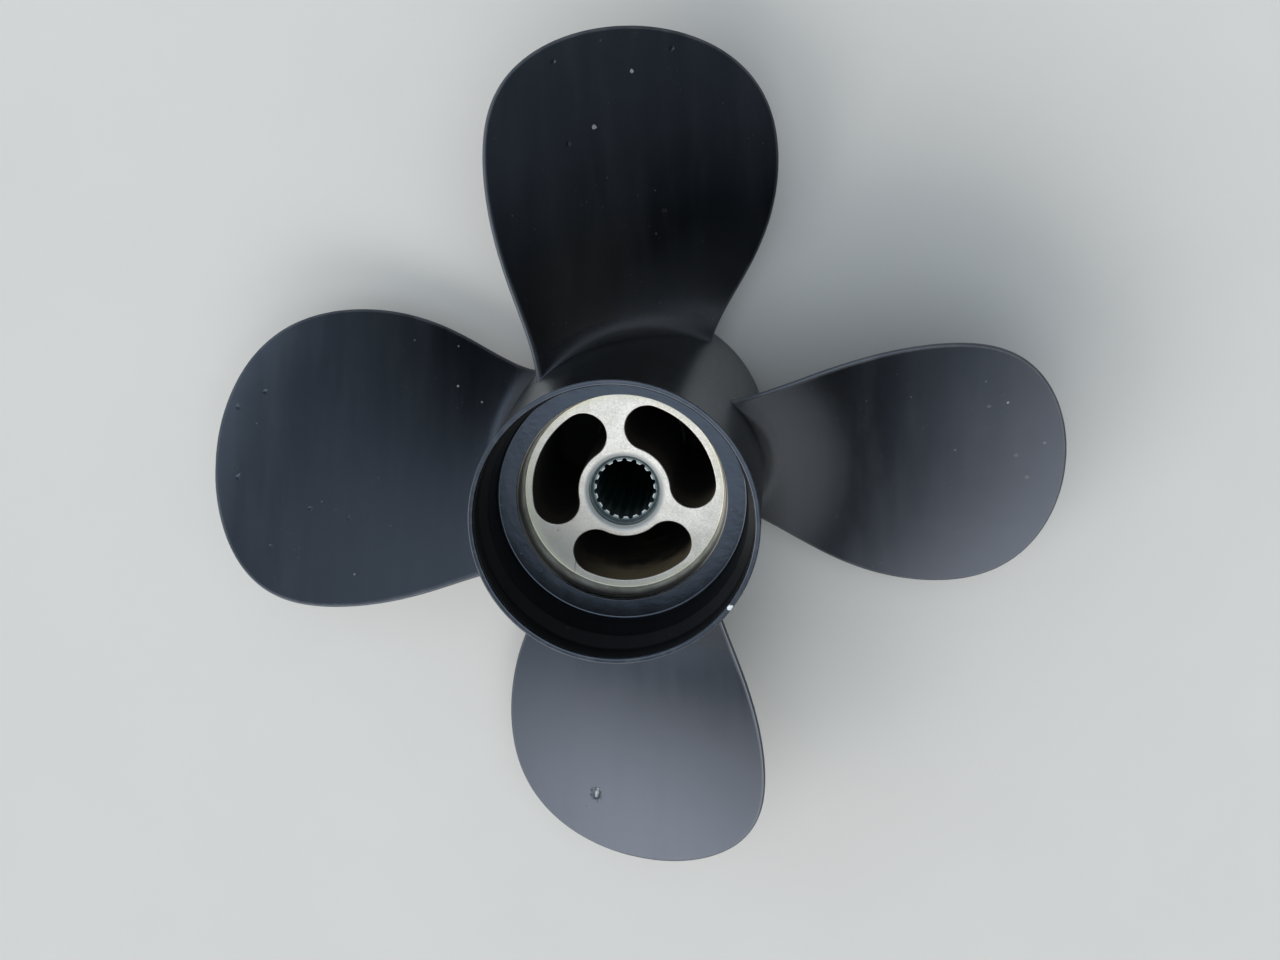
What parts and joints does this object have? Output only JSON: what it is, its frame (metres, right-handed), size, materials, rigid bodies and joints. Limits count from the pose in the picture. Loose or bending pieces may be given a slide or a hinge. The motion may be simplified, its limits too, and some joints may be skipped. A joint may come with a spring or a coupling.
{
  "type": "boat propeller",
  "caption": "Right-handed aft propeller of a contra-rotating boat drive: broad skewed blades on an exhaust hub with kidney-shaped ports round a splined shaft sleeve.",
  "frame": {"origin": "on the shaft axis, in the plane of the hub's forward end face, on which the propeller stands", "axes": "+Z aft along the shaft axis, +Y through the root of blade_1"},
  "size_m": [0.3498, 0.3498, 0.158],
  "materials": {
    "hub_paint": "satin black paint, lightly weathered",
    "blade_paint": "satin black paint, lightly weathered",
    "port_ring_metal": "machined aft face, painted ledge, brown-stained port walls",
    "web_metal": "machined aft face, brown-stained port walls",
    "boss_metal": "machined aft face, brown-stained outside",
    "sleeve_metal": "dull steel with a green-grey cast and bright tooth ends"
  },
  "bodies": {
    "root": {"hub_barrel": "hub_paint", "port_ring": "port_ring_metal", "web_1": "web_metal", "web_2": "web_metal", "web_3": "web_metal", "bearing_boss": "boss_metal", "splined_sleeve": "sleeve_metal", "blade_1": "blade_paint", "blade_2": "blade_paint", "blade_3": "blade_paint", "blade_4": "blade_paint"}
  },
  "joints": []
}
